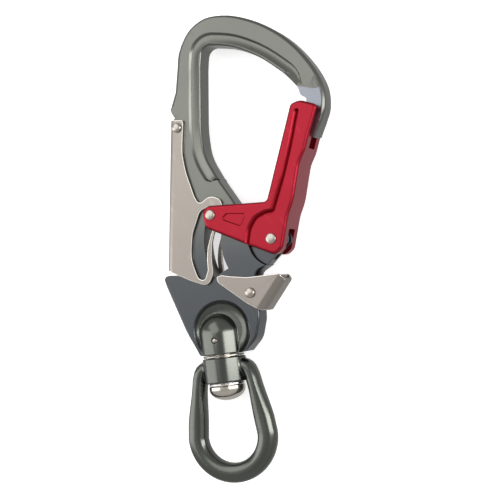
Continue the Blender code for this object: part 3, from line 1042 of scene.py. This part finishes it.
    def _is_glossy(self, at: Vector) -> bool:
        """Choose the faces of the barrel and of the pocket around it.

        Args:
            at: A face's middle.

        Returns:
            Whether it is one of them.
        """
        across = math.hypot(at.x - PIVOTS.swivel_x, at.z)
        on_barrel = math.hypot(across, max(at.y - self.barrel_straight, 0.0)) < self.barrel_radius + 0.2
        from_middle = math.hypot(at.x - self.pocket_centre[0], at.y - self.pocket_centre[1])
        in_pocket = from_middle < self.pocket_radius and abs(at.z) < THICK.body - 0.6
        return (on_barrel or in_pocket) and abs(at.z) >= self.pocket_floor - 0.1

    def build(self) -> bpy.types.Object:
        """Build the frame.

        Returns:
            The finished piece.
        """
        body = Blank.plate(self.outline(), -THICK.body, THICK.body)
        body.round_rim(self.rim, self.rim_steps, self._on_outer_rim)
        body.round_rim(self.small_rim, self.small_rim_steps, self._on_small_rim)
        for tool in (self.groove, self.nose_web, self.recess):
            body.cut(*both_faces(tool))
        (inner, outer), (start, end) = self.window_radii, self.window_turn
        window = rounded([*arc(PIVOTS.gate, outer, start, end, 3), *arc(PIVOTS.gate, inner, end, start, 3)])
        body.cut(Blank.plate(window, -PAST_SHEETS, PAST_SHEETS))
        for hole in self.pivot_holes:
            body.cut(Blank.plate(circle(hole.centre, hole.radius, 40), -PAST_SHEETS, PAST_SHEETS))
            if hole.slot:
                body.cut(Blank.plate(circle(hole.centre, hole.slot, 48), -hole.slot_half, hole.slot_half))
        for outline, half in ((self.lever_spring_slot, 1.5), (self.gate_spring_mouth, 1.9)):
            body.cut(Blank.plate(rounded(outline), -half, half))
        body.cut(*both_faces(self.barrel_pocket))
        body.join(self.barrel())
        bore = [(0.0, self.bore_top), (self.bore_radius, self.bore_top), (self.bore_radius, -1.0),
                (0.0, -1.0)]
        body.cut(Blank.turned(bore, (PIVOTS.swivel_x, 0, 0), Axis.Y))
        height, radius = self.cross_hole
        body.cut(Blank.plate(circle((PIVOTS.swivel_x, height), radius, 32), -PAST_GATE, PAST_GATE))
        nose_notch = Zone(53, 64, 96, 126)
        body.soften(self.broken_edge, chosen=lambda at: not nose_notch.holds(at))
        for face in body.work.faces:
            at = face.calc_center_median()
            face.material_index = 2 if self._is_machined(at, face.normal) else int(self._is_glossy(at))
        return body.deliver("forged_frame", "body", ["hook_body"], self.finishes, self.finishes.grey,
                            self.finishes.grey_gloss, self.finishes.machined)


# ---------------------------------------------------------------- gate

@dataclass
class Gate:
    """The red channel-shaped gate with its leg, arms and outer web."""

    finishes: FinishSet
    round_width: float = 1.5
    round_steps: int = 5
    broken_edge: float = 0.25
    boss_radius: float = 12.4
    groove_depth: float = 1.9
    pocket_depth: float = 0.75
    holes: tuple[tuple[Point, float], ...] = ((PIVOTS.gate, 2.1), (PIVOTS.pin, 1.5))

    def outline(self) -> list[Point]:
        """The gate's outer line.

        Returns:
            The outline's points.
        """
        return rounded([
            (52.5, 115.3, 2.4), (57.2, 116.6, 6), (65.9, 112.9, 2.2), (60.2, 100.0, 30),
            (56.9, 91.9, 15), (53.6, 86.6, 15), (48.5, 69.3, 25), (45.2, 63.0, 20),
            (40.3, 47.4, 4), (36.4, 44.4, 4.5), (24.0, 50.6, 20), (2.4, 62.0, 4.5),
            (0.4, 73.1, 5), (34.9, 70.6, 2.5)])

    def channel(self) -> Blank:
        """The space between the cheeks.

        Returns:
            The tool.
        """
        return Blank.plate(rounded([
            (-6.0, 40.0, 0), (50.0, 40.0, 0), (50.0, 54.2, 0), (39.5, 57.6, 0),
            (42.8, 64.2, 20), (45.9, 70.2, 20), (51.1, 87.6, 15), (54.9, 93.9, 0),
            (70.0, 92.6, 0), (70.0, 122.0, 0), (-6.0, 122.0, 0)]), -THICK.cheek_in, THICK.cheek_in)

    def groove(self) -> Blank:
        """The tool of the step that runs down the leg and round the boss.

        Returns:
            The tool of the front face.
        """
        spacing, end_run, thin_end = 0.8, 1.6, 0.1
        path = evenly(rounded([
            (56.0, 112.6, 0), (50.4, 95.6, 40), (45.0, 81.4, 40), (40.0, 70.4, 20), (37.8, 65.4, 2.2),
            (33.6, 65.2, 4), (28.6, 63.4, 6), (25.0, 58.6, 8), (23.4, 52.4, 8), (22.9, 47.0, 0)],
            closed=False), spacing)
        top = THICK.gate + OVERCUT
        deep = top - self.groove_depth
        section = [(-2.0, top), (-1.6, top - 0.15), (-1.1, top - 0.50), (-0.1, deep + 0.15), (0.2, deep),
                   (0.70, deep), (0.90, deep + 0.2), (1.0, top - 0.35), (1.12, top - 0.12), (1.35, top),
                   (1.35, top + 1.5), (-2.0, top + 1.5)]

        def fade(share: float) -> Point:
            """Round the tool's upper end."""
            near = min(share * len(path) * spacing / end_run, 1.0)
            return (max(thin_end, math.sqrt(1 - (1 - near) ** 2)), 1.0)

        return Blank.swept(path, section, fade)

    def arm_pocket(self) -> Blank:
        """The tool of the shallow four-sided pocket in the arm.

        Returns:
            The tool of the front face.
        """
        corners = [(11.0, 65.3, 1.0), (13.9, 67.7, 1.0), (24.1, 66.4, 1.2), (20.6, 60.6, 1.2)]
        middle = (sum(c[0] for c in corners) / 4, sum(c[1] for c in corners) / 4)

        def ring(grow: float) -> list[Point]:
            """The outline grown about its middle."""
            return [(middle[0] + (x - middle[0]) * grow, middle[1] + (y - middle[1]) * grow)
                    for x, y in rounded(corners, step=15)]

        top = THICK.gate + OVERCUT
        floor = top - self.pocket_depth
        return Blank.lofted([(ring(grow), height) for grow, height in (
            (0.92, floor), (0.98, floor + 0.2), (1.02, top - 0.2), (1.10, top), (1.10, top + 1.0))])

    def build(self) -> bpy.types.Object:
        """Build the gate.

        Returns:
            The finished piece.
        """
        gate = Blank.plate(self.outline(), -THICK.gate, THICK.gate)
        gate.round_rim(self.round_width, self.round_steps)
        for tool in (self.groove, self.arm_pocket):
            gate.cut(*both_faces(tool))
        gate.cut(self.channel())
        arms = rounded([*arc(PIVOTS.gate, self.boss_radius, 92, 262, 4), (30.0, 38.0, 0),
                        (-6.0, 38.0, 0), (-6.0, 80.0, 0), (34.9, 80.0, 0)])
        gate.cut(Blank.plate(arms, -THICK.arm_in, THICK.arm_in))
        for centre, radius in self.holes:
            gate.cut(Blank.plate(circle(centre, radius, 40), -PAST_GATE, PAST_GATE))
        below_round = THICK.gate - self.round_width - 0.1
        gate.soften(self.broken_edge, chosen=lambda at: abs(at.z) < below_round)
        return gate.deliver("red_gate", "gate", ["gate"], self.finishes, self.finishes.red)


# ---------------------------------------------------------------- folded sheets

@dataclass
class FoldedSheet:
    """A sheet folded to a channel, then cut to its side outline."""

    finishes: FinishSet
    corner: Point                 # start of the web's outer face
    direction: Point              # along the web; the sides reach to its left
    length: float
    bend: float                   # outer radius of the folds
    depth: float = 60.0           # how far the blank's sides reach

    def blank(self) -> Blank:
        """The folded channel.

        Returns:
            The channel, as long as the blank.
        """
        depth, bend = self.depth, self.bend
        out, within, thin = THICK.sheet_out, THICK.sheet_in, THICK.sheet
        outer = rounded([(0, -out, bend), (depth, -out, 0), (depth, out, 0), (0, out, bend)])
        inner = rounded([(thin, -within, bend - thin), (depth + 1, -within, 0),
                         (depth + 1, within, 0), (thin, within, bend - thin)])
        dx, dy = self.direction
        turn = Matrix(((-dy, 0, dx, 0), (dx, 0, dy, 0), (0, 1, 0, 0), (0, 0, 0, 1)))
        place = Matrix.Translation((*self.corner, 0)) @ turn
        hollow = Blank.plate(inner, -1, self.length + 1).moved(place)
        return Blank.plate(outer, 0, self.length).moved(place).cut(hollow)


@dataclass
class PalmLever(FoldedSheet):
    """The palm lever along the spine, with a curved slot in each side."""

    corner: Point = (-11.3, 117.9)
    direction: Point = (-0.1383, -0.9904)
    length: float = 90.0
    bend: float = 3.0
    hole: float = 1.8
    broken_edge: float = 0.35

    def build(self) -> bpy.types.Object:
        """Build the lever.

        Returns:
            The finished piece.
        """
        lever = self.blank()
        side = [(-11.6, 118.3, 1.5), (-7.4, 119.0, 3), (-3.9, 116.8, 2.5), (-6.6, 101.0, 30),
                (-5.6, 91.0, 30), (-2.6, 78.5, 12), (-0.6, 74.2, 3.5), (5.4, 77.9, 5),
                (11.6, 75.0, 3.5), (10.4, 67.5, 8), (4.4, 57.0, 20), (2.8, 47.0, 20),
                (2.9, 39.6, 5), (-0.6, 33.6, 5), (-9.8, 37.6, 8), (-21.7, 44.2, 1.5)]
        slot = [(9.3, 70.6, 3), (8.5, 66.8, 4), (4.4, 60.3, 15), (1.4, 53.0, 12), (0.3, 47.5, 20),
                (0.1, 41.5, 4), (-2.3, 36.6, 3.2), (-5.4, 38.4, 3), (-8.0, 48.3, 18),
                (-5.9, 60.2, 20), (-0.4, 71.2, 5), (4.9, 72.6, 3.5)]
        lever.keep(Blank.plate(rounded(side), -PAST_SHEETS, PAST_SHEETS))
        lever.cut(Blank.plate(rounded(slot), -PAST_SHEETS, PAST_SHEETS))
        lever.cut(Blank.plate([(-22, 106), (-4, 106), (-4, 122), (-22, 122)], -THICK.sheet_in,
                              THICK.sheet_in))
        lever.cut(Blank.plate(circle(PIVOTS.lever, self.hole, 40), -PAST_SHEETS, PAST_SHEETS))
        lever.soften(self.broken_edge, material=1)
        return lever.deliver("folded_palm_lever", "lever", ["palm_lever"], self.finishes,
                             self.finishes.sheet, self.finishes.sheet_edge)


@dataclass
class ThumbCatch(FoldedSheet):
    """The thumb catch, whose folded end is the tab."""

    corner: Point = (25.5, 17.0)
    direction: Point = (0.6512, 0.7589)
    length: float = 30.0
    bend: float = 4.5
    hole: float = 1.9
    broken_edge: float = 0.3

    def build(self) -> bpy.types.Object:
        """Build the catch.

        Returns:
            The finished piece.
        """
        catch = self.blank()
        side = [(4.4, 37.9, 0.6), (6.8, 38.4, 1.5), (11.2, 37.3, 8), (19.9, 35.8, 20),
                (36.2, 35.7, 2), (38.6, 32.5, 1.5), (27.3, 19.2, 1.5), (24.8, 19.0, 1.5),
                (12.0, 27.3, 15), (5.4, 33.4, 4), (4.2, 36.4, 1)]
        catch.keep(Blank.plate(rounded(side), -PAST_SHEETS, PAST_SHEETS))
        catch.cut(Blank.plate(circle(PIVOTS.catch, self.hole, 40), -PAST_SHEETS, PAST_SHEETS))
        catch.soften(self.broken_edge, material=1)
        return catch.deliver("folded_thumb_catch", "catch", ["thumb_catch"], self.finishes,
                             self.finishes.sheet, self.finishes.sheet_edge)


# ---------------------------------------------------------------- rivets

@dataclass(frozen=True)
class DomedRivet:
    """Sizes of a rivet with a domed head on both ends."""

    node: str
    centre: Point
    shank: float
    head: float
    height: float                 # of the head
    reach: float                  # from the middle plane to the head
    body: str = "body"

    def side(self) -> list[Point]:
        """The line (radius, height) from the dome's top to the shank.

        Returns:
            The line's points.
        """
        edge, crown_steps, foot, foot_round = 0.30 * self.height, 8, 0.08, 0.1
        crown = [(self.head * math.sin(a), self.reach + edge + (self.height - edge) * math.cos(a))
                 for a in [math.pi / 2 * i / crown_steps for i in range(crown_steps + 1)]]
        crown[0] = (0.0, crown[0][1])
        return [*crown, (self.head, self.reach + foot), (self.head - foot_round, self.reach),
                (self.shank, self.reach)]


@dataclass
class Rivets:
    """The three rivets and the drive pin."""

    finishes: FinishSet
    rivets: tuple[DomedRivet, ...] = (
        DomedRivet("gate_rivet", PIVOTS.gate, 1.8, 2.5, 0.7, THICK.gate + GAP),
        DomedRivet("lever_rivet", PIVOTS.lever, 1.5, 2.4, 1.3, THICK.sheet_out + GAP),
        DomedRivet("catch_rivet", PIVOTS.catch, 1.6, 2.5, 1.3, THICK.sheet_out + GAP),
        DomedRivet("drive_pin", PIVOTS.pin, 1.2, 2.4, 0.7, THICK.gate + GAP, "gate"))

    def build(self) -> list[bpy.types.Object]:
        """Build every rivet.

        Returns:
            The finished pieces.
        """
        made = []
        for rivet in self.rivets:
            side = rivet.side()
            profile = [*side, *[(r, -h) for r, h in reversed(side)]]
            turned = Blank.turned(profile, (*rivet.centre, 0.0), Axis.Z, 40)
            made.append(turned.deliver(f"domed_{rivet.node}", rivet.body, [rivet.node], self.finishes,
                                       self.finishes.rivet))
        return made


# ---------------------------------------------------------------- swivel

@dataclass
class Swivel:
    """The eye with its collar, the bolt, the cross pin and the ring between barrel and collar."""

    finishes: FinishSet
    collar_radius: float = 10.75
    collar_top: float = -1.5
    collar_end: float = -13.9
    bore: float = 7.1
    eye_half: float = 18.2        # from the axis to the middle of the eye's bar
    eye_low: float = -58.3        # middle of the bar at the bottom
    bar: Point = (4.9, 4.9)       # half width and half thickness of the bar
    bolt_head: Point = (8.9, 7.3)  # radius and height
    bolt_top: float = -15.3
    shank_radius: float = 5.0
    shank_top: float = 11.0
    pin_y: float = 7.1
    pin_radius: float = 1.2
    bar_sides: int = 40
    bar_fullness: float = 0.82    # 1 is an ellipse, less is squarer
    bar_spacing: float = 1.3
    slim: Point = (13.0, 33.0)    # ways along the bar between which its slim ends grow full
    slim_size: Point = (0.70, 1.06)  # the ends' share of the bar's width and thickness
    seam: float = 0.9             # round between bar and collar
    ring_heights: Point = (-0.3, -1.2)
    ring_radii: Point = (5.3, 10.2)

    @property
    def centre(self) -> tuple[float, float, float]:
        """Where the swivel's axis leaves the body."""
        return (PIVOTS.swivel_x, 0, 0)

    def eye_path(self) -> list[Point]:
        """The middle line of the eye's bar.

        Returns:
            The points from one end to the other.
        """
        right = [(7.0, -5.6, 0), (12.0, -6.6, 3.5), (13.8, -11.5, 8), (15.0, -18.0, 20),
                 (16.2, -25.5, 30), (17.3, -32.5, 20)]
        low = arc((0.0, self.eye_low + self.eye_half), self.eye_half, 0, -180, 4)
        left = [(-x, y, r) for x, y, r in reversed(right)]
        return [(x + PIVOTS.swivel_x, y) for x, y in rounded([*right, *low, *left], closed=False)]

    def eye_bar(self) -> Blank:
        """The eye's bar, which ends inside the collar.

        Returns:
            The bar.
        """
        def squared(part: float) -> float:
            """Push a sine or cosine outwards, to make the section fuller."""
            return math.copysign(abs(part) ** self.bar_fullness, part)

        wide, tall = self.bar
        turns = [FULL_TURN * i / self.bar_sides for i in range(self.bar_sides)]
        section = [(wide * squared(math.cos(a)), tall * squared(math.sin(a))) for a in turns]
        path = evenly(self.eye_path(), self.bar_spacing)

        def slim_arms(share: float) -> Point:
            """Narrow the bar's face towards the collar.

            Args:
                share: A place along the bar, from 0 to 1.

            Returns:
                Factors on the bar's width and thickness.
            """
            away = min(share, 1 - share) * len(path) * self.bar_spacing
            blend = min(max((away - self.slim[0]) / (self.slim[1] - self.slim[0]), 0.0), 1.0)
            blend = blend * blend * (3 - 2 * blend)
            return tuple(size + (1 - size) * blend for size in self.slim_size)

        return Blank.swept(path, section, slim_arms)

    def eye(self) -> bpy.types.Object:
        """Build the eye and its collar.

        Returns:
            The finished piece.
        """
        edge, radius, past = 0.5, self.collar_radius, 3.0
        profile = [(0.0, self.collar_top), (radius - edge, self.collar_top),
                   (radius, self.collar_top - edge), (radius, self.collar_end + 2 * edge),
                   (radius - 0.35 * edge, self.collar_end + 0.7 * edge),
                   (radius - 2 * edge, self.collar_end), (0.0, self.collar_end)]
        eye = Blank.turned(profile, self.centre, Axis.Y).join(self.eye_bar())
        top, end = self.collar_top + past, self.collar_end - 1
        eye.cut(Blank.turned([(0.0, top), (self.bore, top), (self.bore, end), (0.0, end)],
                             self.centre, Axis.Y))
        eye.soften(self.seam, segments=4, angle=28.0, chosen=self._where_bar_meets_collar)
        return eye.deliver("forged_eye", "eye", ["swivel_eye"], self.finishes, self.finishes.grey_gloss)

    def _where_bar_meets_collar(self, at: Vector) -> bool:
        """Whether an edge lies on the seam between the collar's wall and the bar."""
        across = math.hypot(at.x - PIVOTS.swivel_x, at.z)
        return abs(across - self.collar_radius) < 0.4 and self.collar_end + 1 < at.y < self.collar_top - 1

    def bolt(self) -> bpy.types.Object:
        """Build the bolt with its domed head.

        Returns:
            The finished piece.
        """
        (radius, height), top = self.bolt_head, self.bolt_top
        wall, edge, steps = 1.6, 0.4, 16
        dome = [(radius * math.cos(a), top - wall - (height - wall) * math.sin(a))
                for a in [math.pi / 2 * i / steps for i in range(steps)]]
        profile = [(0.0, self.shank_top), (self.shank_radius, self.shank_top), (self.shank_radius, top),
                   (radius - edge, top), (radius, top - edge), *dome, (0.0, top - height)]
        bolt = Blank.turned(profile, self.centre, Axis.Y)
        hole = circle((PIVOTS.swivel_x, self.pin_y), self.pin_radius + GAP, 32)
        bolt.cut(Blank.plate(hole, -PAST_GATE, PAST_GATE))
        return bolt.deliver("polished_swivel_bolt", "body", ["swivel_bolt"], self.finishes,
                            self.finishes.polished)

    def cross_pin(self) -> bpy.types.Object:
        """Build the cross pin with its burnished round ends.

        Returns:
            The finished piece.
        """
        rise, steps, flat = 0.5, 6, self.collar_radius - 0.5
        crown = [(self.pin_radius * math.sin(a), flat + rise * math.cos(a))
                 for a in [math.pi / 2 * i / steps for i in range(steps + 1)]]
        crown[0] = (0.0, crown[0][1])
        profile = [*crown, *[(r, -h) for r, h in reversed(crown)]]
        pin = Blank.turned(profile, (PIVOTS.swivel_x, self.pin_y, 0), Axis.Z, 32)
        return pin.deliver("burnished_cross_pin", "body", ["bolt_lock_pin"], self.finishes,
                           self.finishes.rivet)

    def ring(self) -> bpy.types.Object:
        """Build the bright ring between the barrel and the collar.

        Returns:
            The finished piece.
        """
        (top, end), (inner, outer), edge = self.ring_heights, self.ring_radii, 0.25
        profile = [(inner, end), (inner, top), (outer - edge, top), (outer, top - edge),
                   (outer, end + edge), (outer - edge, end), (inner, end)]
        ring = Blank.turned(profile, self.centre, Axis.Y)
        return ring.deliver("bright_collar_ring", "body", ["collar_washer"], self.finishes,
                            self.finishes.rivet)

    def build(self) -> list[bpy.types.Object]:
        """Build the swivel.

        Returns:
            The finished pieces.
        """
        return [self.eye(), self.bolt(), self.cross_pin(), self.ring()]


# ---------------------------------------------------------------- parts kept as they are

@dataclass
class InnerParts:
    """Springs, sleeves, bush, washer and roller, which only need a finish."""

    finishes: FinishSet

    def dress(self) -> None:
        """Give each kept node its material."""
        worn = {"gate_spring": self.finishes.spring, "lever_spring": self.finishes.spring,
                "catch_spring": self.finishes.spring, "gate_sleeve": self.finishes.rivet,
                "lever_sleeve": self.finishes.rivet, "catch_sleeve": self.finishes.rivet,
                "pin_roller": self.finishes.polished, "head_washer": self.finishes.spring,
                "swivel_bush": self.finishes.bronze}
        for name, finish in worn.items():
            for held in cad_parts[name].material_slots:
                held.material = self.finishes.material(finish)
            LOG.info("%s dressed in %s", name, finish.name)


# ---------------------------------------------------------------- studio

@dataclass(frozen=True)
class Lamp:
    """A soft lamp that faces the hook."""

    name: str
    place: tuple[float, float, float]  # metres from the target
    size: Point                        # width and height
    power: float                       # watts

    def hang(self, target: Vector) -> None:
        """Hang the lamp.

        Args:
            target: The point that it faces.
        """
        data = bpy.data.lights.new(self.name, "AREA")
        data.shape = "RECTANGLE"
        data.size, data.size_y = self.size
        data.energy = self.power
        lamp = bpy.data.objects.new(self.name, data)
        bpy.context.scene.collection.objects.link(lamp)
        lamp.location = target + Vector(self.place)
        lamp.rotation_euler = Vector(self.place).to_track_quat("Z", "Y").to_euler()


@dataclass
class Studio:
    """Floor, soft lights, surroundings and camera."""

    roll: float = -7.0            # degrees
    yaw: float = 20.0
    pitch: float = 1.0
    distance: float = 0.650
    lens: float = 95.5
    sensor: float = 36.0
    target: tuple[float, float, float] = (20.30, 49.19, 0.0)
    floor_size: float = 6.0
    floor_gap: float = 0.0005     # metres below the hook
    floor_glow: float = 0.62
    sky: tuple[tuple[float, float], ...] = ((0.0, 0.60), (0.15, 0.50), (0.5, 0.64), (1.0, 0.50))
    lamps: tuple[Lamp, ...] = (
        Lamp("left_softbox", (-0.36, 0.50, 0.85), (0.73, 1.2), 4.2),
        Lamp("left_strip", (-0.90, 0.0, 0.46), (0.50, 1.3), 4.2),
        Lamp("right_softbox", (0.87, 0.0, 0.5), (0.28, 1.2), 7.0))

    def aim(self) -> Matrix:
        """The camera's turn.

        Returns:
            A rotation.
        """
        turns = ((self.roll, "Z"), (self.yaw, "Y"), (self.pitch, "X"))
        aim = Matrix.Identity(4)
        for degrees, axis in turns:
            aim = aim @ Matrix.Rotation(math.radians(degrees), 4, axis)
        return aim

    def camera(self, target: Vector) -> None:
        """Place the camera.

        Args:
            target: The point in the middle of its view.
        """
        data = bpy.data.cameras.new("camera")
        data.lens = self.lens
        data.sensor_width = self.sensor
        data.clip_start = 0.01
        camera = bpy.data.objects.new("camera", data)
        bpy.context.scene.collection.objects.link(camera)
        back = Matrix.Translation((0, 0, self.distance))
        camera.matrix_world = Matrix.Translation(target) @ self.aim() @ back
        bpy.context.scene.camera = camera

    def floor(self) -> None:
        """Lay the pale floor."""
        work = bmesh.new()
        bmesh.ops.create_grid(work, x_segments=1, y_segments=1, size=self.floor_size / 2)
        bmesh.ops.translate(work, verts=work.verts, vec=(0, 0, CAD_BOX[0][2] - self.floor_gap))
        mesh = bpy.data.meshes.new("pale_floor")
        work.to_mesh(mesh)
        work.free()
        floor = bpy.data.objects.new("pale_floor", mesh)
        bpy.context.scene.collection.objects.link(floor)
        tree = Tree(bpy.data.materials.new("pale_floor"))
        shader = tree.nodes["Principled BSDF"].inputs
        shader["Base Color"].default_value = (0.8, 0.8, 0.8, 1.0)
        shader["Roughness"].default_value = 0.9
        shader["Emission Color"].default_value = (1.0, 1.0, 1.0, 1.0)
        shader["Emission Strength"].default_value = self.floor_glow
        mesh.materials.append(tree.holder)
        floor.visible_glossy = False

    def surroundings(self) -> None:
        """A pale room, with shades set by height: below, near the horizon and above."""
        world = bpy.data.worlds.new("studio")
        tree = Tree(world)
        place = tree.level("ShaderNodeTexCoord", {}, {}, "Generated")
        height = tree.level("ShaderNodeSeparateXYZ", {}, {0: place}, "Z")
        stops = [(at, (grey, grey, grey)) for at, grey in self.sky]
        shade = tree.level("ShaderNodeValToRGB", {"stops": stops}, {0: height})
        tree.feed(tree.nodes["Background"].inputs[0], shade)
        bpy.context.scene.world = world

    def build(self) -> None:
        """Set the studio up."""
        bpy.context.scene.view_settings.view_transform = "Standard"
        target = to_frame() @ Vector(self.target)
        self.floor()
        self.surroundings()
        for lamp in self.lamps:
            lamp.hang(target)
        self.camera(target)
        LOG.info("studio ready")


def main() -> None:
    """Build the hook's pieces in order, then the studio."""
    logging.basicConfig(level=logging.INFO, format="%(message)s")
    finishes = FinishSet()
    ForgedFrame(finishes).build()
    Gate(finishes).build()
    PalmLever(finishes).build()
    ThumbCatch(finishes).build()
    Rivets(finishes).build()
    Swivel(finishes).build()
    InnerParts(finishes).dress()
    Studio().build()


if __name__ == "__main__":
    main()
